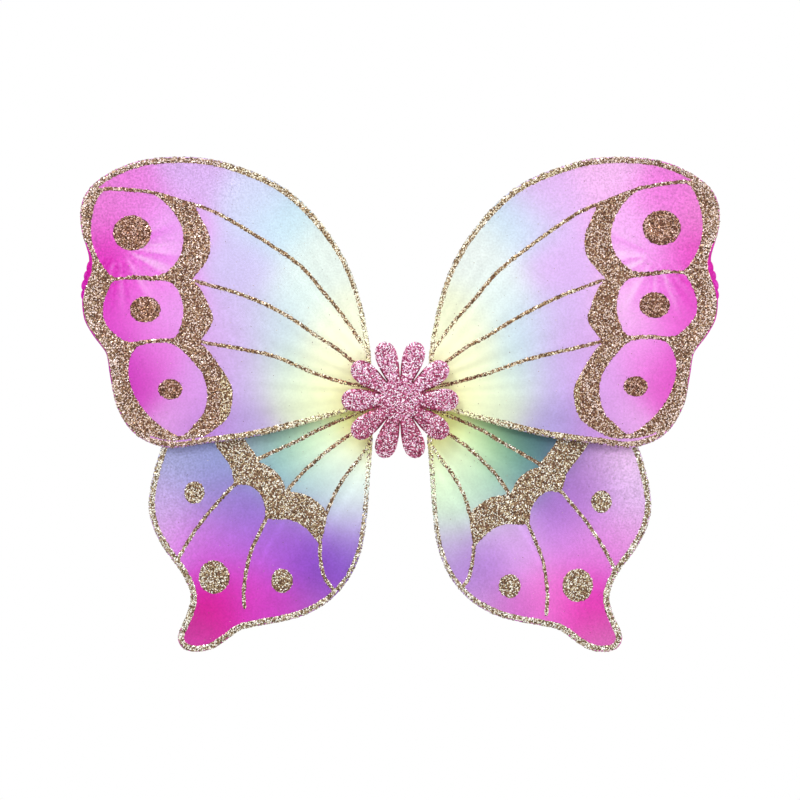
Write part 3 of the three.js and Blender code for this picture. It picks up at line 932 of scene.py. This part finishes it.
DOME = 1.5 * MM
DOME_REACH = 5.5 * MM
FOAM = 2 * MM
PETAL_FLAKE = 1.0 * MM
SLIT_REACH = 28 * MM  # the slits between the petals stay nearly closed up to here
SLIT_SHADE = 1.3 * MM  # how far the dark flakes of painted shade reach from a slit
SEAM_POINTS = 37  # on the line between the two halves


def add_flower(glitter, foam):
    """Two halves, split at x = 0, each on the side of its own wings."""
    back_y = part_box("front_flower")[1].y
    dice = np.random.default_rng(7)
    loop = spaced_flower(face_loops("front_flower")[0])
    inner = lattice([loop], PETAL_FLAKE, dice, 0.4 * MM)
    inner = inner[np.abs(inner[:, 0]) > 0.4 * MM]
    seam_half = float(np.min(np.linalg.norm(loop, axis=1)))
    along = np.linspace(-seam_half, seam_half, SEAM_POINTS + 2)[1:-1]
    seam = np.column_stack([np.zeros(SEAM_POINTS), along])
    flat, faces = triangles([loop], np.vstack([inner, seam]), seam_edges(loop, len(inner), seam))
    outline = spaced(np.vstack([loop, loop[:1]]), 0.3 * MM)
    depth = distances(flat, outline)
    flatter = 1 - np.minimum(depth, DOME_REACH) / DOME_REACH
    bulge = DOME * np.sqrt(np.clip(1 - flatter ** 2, 0, 1))
    relief = dice.uniform(-0.14, 0.14, len(flat)) * MM * (depth > 0.1 * MM)
    front = placed(flat, back_y - FOAM + DOME * 0.3 - bulge + relief)
    back = placed(flat, back_y)
    centres = flat[faces].mean(axis=1)
    for side_name, side in SIDES.items():
        own = faces[centres[:, 0] * side > 0]
        walls = [(i, (i + 1) % len(loop)) for i in range(len(loop))]
        walls = [(i, j) for i, j in walls if (flat[i, 0] + flat[j, 0]) * side > 0]
        count = len(flat)
        all_faces = [list(f) for f in own]
        all_faces += [list(f + count)[::-1] for f in own]
        all_faces += [[i, j, j + count, i + count] for i, j in walls]
        piece = new_object(f"flower_{side_name}_half", np.vstack([front, back]), all_faces,
                           glitter, smooth=False)
        piece.data.materials.append(foam)
        drop_loose(piece)
        turn_outward(piece)
        for polygon in piece.data.polygons:
            on_front = all(piece.data.vertices[i].co.y < back_y - 0.2 * MM
                           for i in polygon.vertices)
            polygon.material_index = 0 if on_front else 1
        total = len(piece.data.polygons)
        places = np.array([tuple(polygon.center) for polygon in piece.data.polygons])[:, (0, 2)]
        # Painted shade: the lower petals take the darker flakes, the upper ones the lighter pinks.
        upper = places[:, 1] + dice.normal(0, 14 * MM, total) > -4 * MM
        colours = np.where(upper[:, None], pick(PINK, total, dice), pick(LOWER_PETAL_SHADE, total, dice))
        # Painted shade: dark flakes along the nearly closed slits near the middle.
        shade = pick(SLIT_PAINTED_SHADE, total, dice)
        in_slit = distances(places, outline) < SLIT_SHADE
        in_slit &= np.linalg.norm(places, axis=1) < SLIT_REACH
        colours[in_slit] = shade[in_slit]
        add_colour(piece, "grain", colours / LIGHT_GAIN, "FACE")
        add_value(piece, "gloss", dice.uniform(0.2, 0.5, total), "FACE")
        add_rest(piece)
        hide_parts("front_flower")
        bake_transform(piece)


def spaced_flower(loop):
    """The flower's outline with points every 0.9 mm or so, keeping its own corners."""
    made = []
    following = np.roll(loop, -1, axis=0)
    for start, end in zip(loop, following):
        count = max(1, round(np.linalg.norm(end - start) / (0.9 * MM)))
        made += [start + (end - start) * k / count for k in range(count)]
    return np.array(made)


def seam_edges(loop, inner_count, seam):
    first = len(loop) + inner_count
    order = [first + i for i in range(len(seam))]
    reach = np.linalg.norm(loop, axis=1)
    on_axis = [i for i in range(len(loop)) if abs(loop[i, 0]) < 0.02 * MM and reach[i] < 0.02]
    bottom = min(on_axis, key=lambda i: loop[i, 1])
    top = max(on_axis, key=lambda i: loop[i, 1])
    order = [bottom, *order, top]
    return list(zip(order, order[1:]))


def drop_loose(piece):
    """Deletes the points that no face uses."""
    with edited(piece) as work:
        loose = [v for v in work.verts if not v.link_faces]
        bmesh.ops.delete(work, geom=loose, context="VERTS")


# ------------------------------------------------------------------ wires, thread and tape

WIRE_SPREAD = 1.6 * MM  # from the neck's middle to each end of the wire
THREAD = 0.3 * MM  # radius
TIE_STEPS = 36  # in one turn of the thread
KNOT_STEPS = 30
TAPE = 0.3 * MM  # thickness
TAPE_LAP = 5.5 * MM  # from one lap of the tape to the next
LAP_EDGE = 0.93  # of a lap, after which the tape steps down

def add_wire(level, side_name, material):
    """A smooth round wire in the place of the CAD's faceted loop."""
    wing = WINGS[level]
    side = SIDES[side_name]
    node = f"{level}_{side_name}_frame"
    low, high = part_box(node)
    radius = (high.y - low.y) / 2
    start = min(abs(low.x), abs(high.x))
    path = wing.core[wing.core[:, 0] > start + 2.6 * MM]
    ends = [[start, WIRE_SPREAD], [start + 1.1 * MM, WIRE_SPREAD]]
    top = np.array(ends) + [0, wing.neck_z]
    bottom = np.array(ends[::-1]) * [1, -1] + [0, wing.neck_z]
    line = spaced(catmull_rom(np.vstack([top, path, bottom]), 3), 1.6 * MM)
    tubing = tube(placed(line, wing.y, side), radius, 12, (0, 1, 0))
    piece = closed_object(f"{level}_{side_name}_wire", *tubing, material, "wire")
    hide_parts(node)
    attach(piece, f"{level}_{side_name}_wing")
    return piece


def superellipse(turn, half_a, half_b, power=0.6):
    """A rounded rectangle's point at an angle."""
    a, b = math.cos(turn), math.sin(turn)
    return (math.copysign(abs(a) ** power, a) * half_a, math.copysign(abs(b) ** power, b) * half_b)


def add_tie(level, side_name, material):
    """Thread wound round the gathered neck, with its knot behind."""
    node = f"{level}_{side_name}_tie"
    low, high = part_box(node)
    centre = (low + high) / 2
    half_y = (high.y - low.y) / 2 - THREAD
    half_z = (high.z - low.z) / 2 - THREAD
    turns = (high.x - low.x - 2 * THREAD) / (2 * THREAD)
    line = []
    for step in range(int(turns * TIE_STEPS) + 1):
        turn = step / TIE_STEPS
        y, z = superellipse(turn * 2 * math.pi, half_y, half_z)
        line.append((low.x + THREAD * (1 + 2 * turn), centre.y + y, centre.z + z))
    parts = [tube(line, THREAD, 8, (1, 0, 0))]
    knot = []
    for step in range(KNOT_STEPS):
        turn = step / (KNOT_STEPS - 1) * 4 * math.pi
        knot.append((centre.x + 0.5 * MM * math.cos(turn) * (1 + 0.3 * math.sin(turn / 2)),
                     high.y + 0.25 * MM + 0.35 * MM * math.sin(1.5 * turn),
                     centre.z + 0.6 * MM * math.sin(turn)))
    parts.append(tube(knot, THREAD, 8, (0, 1, 0.3)))
    piece = closed_object(f"{level}_{side_name}_thread", *joined(parts), material, "thread")
    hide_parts(node)
    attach(piece, f"{level}_{side_name}_wing")


def add_binding(material):
    """Cloth tape wound in overlapping laps round the wire ends."""
    low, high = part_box("wire_binding")
    centre = (low + high) / 2
    columns = 72
    rows = 60
    vertices = []
    for row in range(rows):
        x = low.x + (high.x - low.x) * row / (rows - 1)
        for column in range(columns):
            turn = column / columns
            step = (x / TAPE_LAP - turn) % 1
            lift = 1 - smoothstep(0.0, LAP_EDGE, step) + smoothstep(LAP_EDGE, 1.0, step)
            y, z = superellipse(turn * 2 * math.pi, (high.y - low.y) / 2 - TAPE + TAPE * lift,
                                (high.z - low.z) / 2 - TAPE + TAPE * lift)
            vertices.append((x, centre.y + y, centre.z + z))
    faces = grid_faces(rows, columns)
    for x, row in ((low.x + TAPE, 0), (high.x - TAPE, rows - 1)):
        first = len(vertices)
        for column in range(columns):
            y, z = superellipse(column / columns * 2 * math.pi, (high.y - low.y) / 2 - 3 * TAPE,
                                (high.z - low.z) / 2 - 3 * TAPE)
            vertices.append((x, centre.y + y, centre.z + z))
            beside = (column + 1) % columns
            faces.append([row * columns + column, row * columns + beside, first + beside,
                          first + column])
        faces.append([first + column for column in range(columns)])
    piece = closed_object("binding_tape", vertices, faces, material, "tape")
    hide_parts("wire_binding")
    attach(piece, "hub")


def add_glue(material):
    """A pressed blob between the binding and the flower."""
    low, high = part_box("glue_spot")
    radius = (high.x - low.x) / 2
    rows = 9
    columns = 48
    vertices = []
    for row in range(rows):
        share = row / (rows - 1)
        for column in range(columns):
            turn = column / columns * 2 * math.pi
            ripple = noise.noise((1.6 * math.cos(turn), 1.6 * math.sin(turn), 0.4))
            out = radius * (0.88 + 0.1 * math.sin(math.pi * share) + 0.09 * ripple)
            y = high.y + (low.y - high.y) * share
            vertices.append((out * math.cos(turn), y, out * math.sin(turn)))
    faces = grid_faces(rows, columns, capped=True)
    piece = closed_object("glue_blob", vertices, faces, material, "glue")
    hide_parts("glue_spot")
    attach(piece, "hub")


# ------------------------------------------------------------------ the pad and the straps

STITCH = 0.28 * MM  # radius of the sewing thread
STITCH_RISE = 0.32 * MM
STRAP_RIBS = 6
ROLL_RIBS = 7
ROLL_BAND = 0.9 * MM  # thickness of the rolled elastic
ROLL_TURNS = 2.6
ROLL_PITCH = 1.05 * MM
ROLL_END = math.radians(100)  # where round the roll its outer end lies
ROLL_STITCHES = 5

def slab(name, loop, profile, material, slot, bulge=0.0):
    """A soft slab: the loop's outline stacked as (inset, y) rings, both ends filled."""
    dice = np.random.default_rng(5)
    rings = [loop + inset * -normals(loop, closed=True) for inset, _ in profile]
    count = len(loop)
    vertices = [placed(ring, y) for ring, (_, y) in zip(rings, profile)]
    faces = grid_faces(len(profile), count)
    first = count * len(profile)
    for ring, (_, y), own in ((rings[0], profile[0], 0),
                              (rings[-1], profile[-1], count * (len(profile) - 1))):
        inner = lattice([ring], 1.3 * MM, dice, 0.7 * MM)
        filling = triangles([ring], inner)[1]
        depth = distances(inner, ring)
        outward = math.copysign(1, y - (profile[0][1] + profile[-1][1]) / 2)
        rise = bulge * smoothstep(0, 8 * MM, depth)
        vertices.append(placed(inner, y + outward * rise))
        index = [own + i for i in range(count)] + [first + i for i in range(len(inner))]
        faces += [[index[i] for i in face] for face in filling]
        first += len(inner)
    return closed_object(name, np.vstack(vertices), faces, material, slot)


def add_pad(foam, felt, thread):
    loop = spaced_loop(face_loops("back_pad")[0], 1.2 * MM)
    loop = softened(loop, 4)
    low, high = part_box("back_pad")
    depth = high.y - low.y
    round_off = [(0.9 * MM, low.y), (0.35 * MM, low.y + 0.15 * depth), (0, low.y + 0.35 * depth),
                 (0, high.y - 0.35 * depth), (0.35 * MM, high.y - 0.15 * depth),
                 (0.9 * MM, high.y)]
    pad = slab("pad_foam", loop, round_off, foam, "foam", bulge=0.1 * MM)
    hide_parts("back_pad")
    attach(pad, "hub")

    low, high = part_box("pad_cover")
    cover_shape = [(0.5 * MM, low.y), (0.1 * MM, low.y + 0.3 * MM), (0, (low.y + high.y) / 2),
                   (0.15 * MM, high.y - 0.25 * MM), (0.6 * MM, high.y)]
    cover = slab("felt_cover", loop, cover_shape, felt, "felt")
    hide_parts("pad_cover")
    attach(cover, "hub")

    seam = spaced_loop(loop - 2.2 * MM * normals(loop, closed=True), 1.6 * MM)
    parts = [stitch((x, high.y, z), (bx, high.y, bz), (0, 1, 0))
             for (x, z), (bx, bz) in list(zip(seam, np.roll(seam, -1, axis=0)))[::2]]
    stitches = closed_object("cover_stitching", *joined(parts), thread, "thread")
    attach(stitches, "hub")


def stitch(start, end, up):
    """A short arc of thread that dips into the cloth at both ends."""
    start, end, up = Vector(start), Vector(end), Vector(up)
    line = []
    for step in range(7):
        share = step / 6
        rise = (math.sin(math.pi * share) - 0.35) * STITCH_RISE
        line.append(start.lerp(end, share) + up * rise)
    across = (end - start).cross(up)
    return tube([tuple(p) for p in line], STITCH, 6, tuple(across.normalized()))


def band(line, half_width, thickness, ribs):
    """An elastic band on edge along a flat line: points as (along u, along v, across)."""
    across = normals(line)
    samples = 4 * ribs + 1
    offsets = np.linspace(-1, 1, samples)
    crown = 0.62 + 0.38 * np.abs(np.sin(np.linspace(0, ribs * math.pi, samples)))
    crown *= np.sqrt(np.clip(1 - (np.abs(offsets) - 0.94).clip(0) ** 2 / 0.06 ** 2 * 0.8, 0, 1))
    profile = [(w, c) for w, c in zip(offsets, crown)]
    profile += [(w, -c) for w, c in zip(offsets[::-1], crown[::-1])]
    rows = []
    for point, sideways in zip(line, across):
        for w, c in profile:
            u, v = point + sideways * c * thickness / 2
            rows.append((u, v, w * half_width))
    return np.array(rows), grid_faces(len(line), len(profile), capped=True)


def add_strap(side_name, elastic, thread):
    side = SIDES[side_name]
    node = f"{side_name}_strap"
    low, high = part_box(node)
    loop = face_loops(node, side)[0]
    steps = np.linalg.norm(np.roll(loop, -1, axis=0) - loop, axis=1)
    ends = np.sort(np.argsort(steps)[:2])
    half = len(loop) // 2
    loop = np.roll(loop, -(ends[0] + 1), axis=0)
    centre = (loop[:half] + loop[::-1][:half]) / 2
    line = spaced(catmull_rom(centre, 10), 1.5 * MM)
    line[0] += (line[0] - line[1]) * 0.2
    line[-1] += (line[-1] - line[-2]) * 0.2
    thickness = float(steps[ends].mean())
    rows, faces = band(line, (high.y - low.y) / 2, thickness, STRAP_RIBS)
    middle_y = (low.y + high.y) / 2
    vertices = placed(rows, middle_y + rows[:, 2], side)
    strap = closed_object(f"{side_name}_elastic", vertices, faces, elastic, "elastic")
    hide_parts(node)
    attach(strap, f"{side_name}_strap_loop")
    add_anchor(side_name, elastic, thread)


def add_anchor(side_name, elastic, thread):
    """The strap's ends rolled up and stitched to the pad."""
    node = f"{side_name}_strap_anchor"
    low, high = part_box(node)
    centre = (low + high) / 2
    radius = (high.x - low.x) / 2
    side = SIDES[side_name]
    steps = ROLL_TURNS * 24
    line = []
    for step in range(int(steps) + 1):
        share = step / steps
        out = radius - 0.5 * MM - (1 - share) * ROLL_TURNS * ROLL_PITCH
        turn = ROLL_END - 2 * math.pi * ROLL_TURNS * (1 - share)
        line.append((centre.x + side * out * math.cos(turn), centre.y + out * math.sin(turn)))
    rows, faces = band(np.array(line), (high.z - low.z) / 2, ROLL_BAND, ROLL_RIBS)
    vertices = np.column_stack([rows[:, 0], rows[:, 1], centre.z + rows[:, 2]])
    roll = closed_object(f"{side_name}_elastic_roll", vertices, faces, elastic, "elastic")
    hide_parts(node)
    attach(roll, "hub")

    pad_low, pad_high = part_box("pad_cover")
    edge = pad_high.x if side > 0 else pad_low.x
    parts = []
    for step in range(ROLL_STITCHES):
        z = low.z + (high.z - low.z) * (0.12 + 0.19 * step)
        start = (edge - side * 1.6 * MM, pad_high.y, z)
        end = (centre.x - side * 1.4 * MM, pad_high.y, z + 0.8 * MM)
        parts.append(stitch(start, end, (0, 1, 0)))
    whip = closed_object(f"{side_name}_roll_stitching", *joined(parts), thread, "thread")
    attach(whip, "hub")


# ------------------------------------------------------------------ assembly

steel = plain("steel_wire", "c9c2c0", 0.35, metallic=0.9, grain=600, depth=0.00002)
thread_look = plain("cotton_thread", "ece6dc", 0.8, sheen=0.2, grain=2500, depth=0.0001)
tape_look = plain("cloth_tape", "d8d0c6", 0.85, sheen=0.2, grain=1800, depth=0.00015)
elastic_look = plain("woven_elastic", "d2ccd2", 0.75, sheen=0.2, grain=2200, depth=0.00015)
glue_look = plain("hot_glue", "efe6d2", 0.3, grain=200, depth=0.0003, spread=0.05)
felt_look = plain("felt", "dcaed0", 0.95, sheen=0.1, grain=1400, depth=0.0004, spread=0.2)
foam_look = plain("white_foam", "d0c8ce", 0.9, grain=1600, depth=0.0004, spread=0.15)

gold = flakes("champagne_glitter", 0.55)
for level in LEVELS:
    cloth = fabric(f"{level}_knit")
    for side_name, side in SIDES.items():
        prefix = f"{level}_{side_name}"
        wire = add_wire(level, side_name, steel)
        add_tie(level, side_name, thread_look)
        sleeve = add_sleeve(level, side_name, cloth)
        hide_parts(f"{prefix}_sleeve")
        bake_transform(sleeve)
        add_prints(level, side_name, gold)

pink = flakes("pink_glitter", 0.35)
foam_side = plain("foam_edge", "b04070", 0.8, grain=1500)
add_flower(pink, foam_side)

add_binding(tape_look)
add_glue(glue_look)
add_pad(foam_look, felt_look, thread_look)
for name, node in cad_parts.items():
    if "_tail_top" in name or "_tail_bottom" in name:
        add_rest(node)
        node.data.materials.clear()
        node.data.materials.append(steel)
for side_name in SIDES:
    add_strap(side_name, elastic_look, thread_look)
